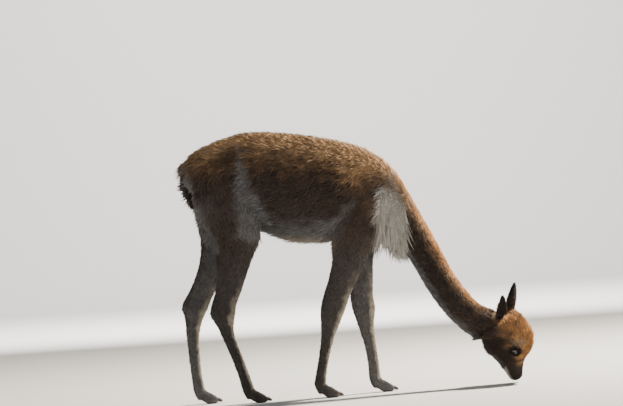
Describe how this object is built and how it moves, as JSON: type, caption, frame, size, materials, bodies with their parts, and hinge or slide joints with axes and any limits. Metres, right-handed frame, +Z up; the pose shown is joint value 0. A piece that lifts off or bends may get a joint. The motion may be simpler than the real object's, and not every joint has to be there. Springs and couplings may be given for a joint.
{
  "type": "vicuna",
  "caption": "Life-size grazing vicuna with its head down to the ground, cinnamon coat, pale belly and white chest bib.",
  "frame": {"origin": "on the floor, under the middle of the bounding box", "axes": "+X the way the body faces, +Y the animal's left, +Z up"},
  "size_m": [1.2196, 0.316, 0.9385],
  "materials": {
    "coat_cinnamon": "short dense fleece",
    "coat_fawn": "short dense fleece",
    "coat_pale": "short smooth hair",
    "coat_white": "long soft hair",
    "eye_dark": "wet gloss",
    "nail_horn": "dull horn"
  },
  "bodies": {
    "root": {"torso": "coat_cinnamon", "neck": "coat_cinnamon", "head": "coat_cinnamon", "ear_left": "coat_cinnamon", "ear_right": "coat_cinnamon", "tail": "coat_cinnamon", "bib": "coat_white", "eye_left": "eye_dark", "eye_right": "eye_dark", "leg_hind_right": "coat_fawn", "cannon_hind_right": "coat_pale", "foot_hind_right": "coat_pale", "nail_hind_right_inner": "nail_horn", "nail_hind_right_outer": "nail_horn", "leg_hind_left": "coat_fawn", "cannon_hind_left": "coat_pale", "foot_hind_left": "coat_pale", "nail_hind_left_inner": "nail_horn", "nail_hind_left_outer": "nail_horn", "leg_fore_right": "coat_fawn", "cannon_fore_right": "coat_pale", "foot_fore_right": "coat_pale", "nail_fore_right_inner": "nail_horn", "nail_fore_right_outer": "nail_horn", "leg_fore_left": "coat_fawn", "cannon_fore_left": "coat_pale", "foot_fore_left": "coat_pale", "nail_fore_left_inner": "nail_horn", "nail_fore_left_outer": "nail_horn"}
  },
  "joints": []
}
